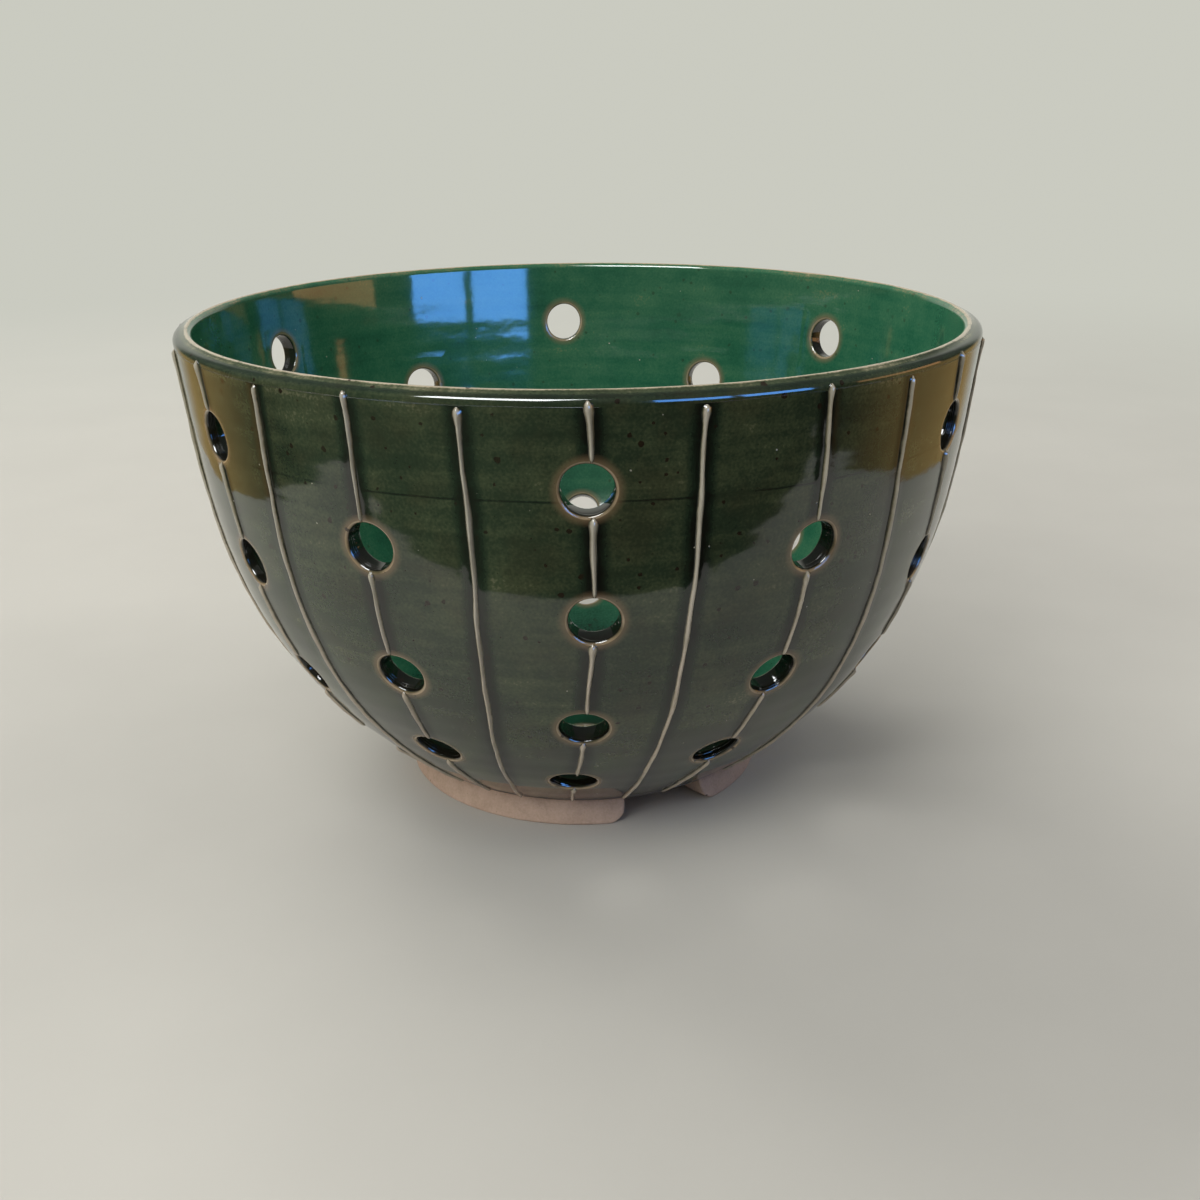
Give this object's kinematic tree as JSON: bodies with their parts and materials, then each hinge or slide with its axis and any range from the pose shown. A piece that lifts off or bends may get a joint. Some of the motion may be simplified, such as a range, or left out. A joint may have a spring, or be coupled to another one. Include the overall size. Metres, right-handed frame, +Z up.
{
  "type": "berry bowl",
  "caption": "Deep rounded stoneware berry bowl on cut feet, its wall pierced with drain holes and lined with raised slip under a glossy green glaze.",
  "frame": {"origin": "on the table under the middle of the bowl", "axes": "+Z up along the axis of the bowl, -Y towards the side seen in the picture"},
  "size_m": [0.161, 0.1611, 0.0978],
  "materials": {
    "green_glaze": "glossy translucent green glaze over speckled buff clay",
    "slip_line": "raised pale slip under thin glossy glaze",
    "bare_clay": "unglazed speckled buff clay, matt"
  },
  "bodies": {
    "root": {"foot_1": "bare_clay", "foot_2": "bare_clay", "foot_3": "bare_clay", "slip_line_01_stretch_1": "slip_line", "slip_line_01_stretch_2": "slip_line", "slip_line_01_stretch_3": "slip_line", "slip_line_01_stretch_4": "slip_line", "slip_line_02": "slip_line", "slip_line_03_stretch_1": "slip_line", "slip_line_03_stretch_2": "slip_line", "slip_line_03_stretch_3": "slip_line", "slip_line_04": "slip_line", "slip_line_05_stretch_1": "slip_line", "slip_line_05_stretch_2": "slip_line", "slip_line_05_stretch_3": "slip_line", "slip_line_05_stretch_4": "slip_line", "slip_line_06": "slip_line", "slip_line_07_stretch_1": "slip_line", "slip_line_07_stretch_2": "slip_line", "slip_line_07_stretch_3": "slip_line", "slip_line_08": "slip_line", "slip_line_09_stretch_1": "slip_line", "slip_line_09_stretch_2": "slip_line", "slip_line_09_stretch_3": "slip_line", "slip_line_09_stretch_4": "slip_line", "slip_line_10": "slip_line", "slip_line_11_stretch_1": "slip_line", "slip_line_11_stretch_2": "slip_line", "slip_line_11_stretch_3": "slip_line", "slip_line_12": "slip_line", "slip_line_13_stretch_1": "slip_line", "slip_line_13_stretch_2": "slip_line", "slip_line_13_stretch_3": "slip_line", "slip_line_13_stretch_4": "slip_line", "slip_line_14": "slip_line", "slip_line_15_stretch_1": "slip_line", "slip_line_15_stretch_2": "slip_line", "slip_line_15_stretch_3": "slip_line", "slip_line_16": "slip_line", "slip_line_17_stretch_1": "slip_line", "slip_line_17_stretch_2": "slip_line", "slip_line_17_stretch_3": "slip_line", "slip_line_17_stretch_4": "slip_line", "slip_line_18": "slip_line", "slip_line_19_stretch_1": "slip_line", "slip_line_19_stretch_2": "slip_line", "slip_line_19_stretch_3": "slip_line", "slip_line_20": "slip_line", "slip_line_21_stretch_1": "slip_line", "slip_line_21_stretch_2": "slip_line", "slip_line_21_stretch_3": "slip_line", "slip_line_21_stretch_4": "slip_line", "slip_line_22": "slip_line", "slip_line_23_stretch_1": "slip_line", "slip_line_23_stretch_2": "slip_line", "slip_line_23_stretch_3": "slip_line", "slip_line_24": "slip_line", "thrown_body": "green_glaze"}
  },
  "joints": []
}
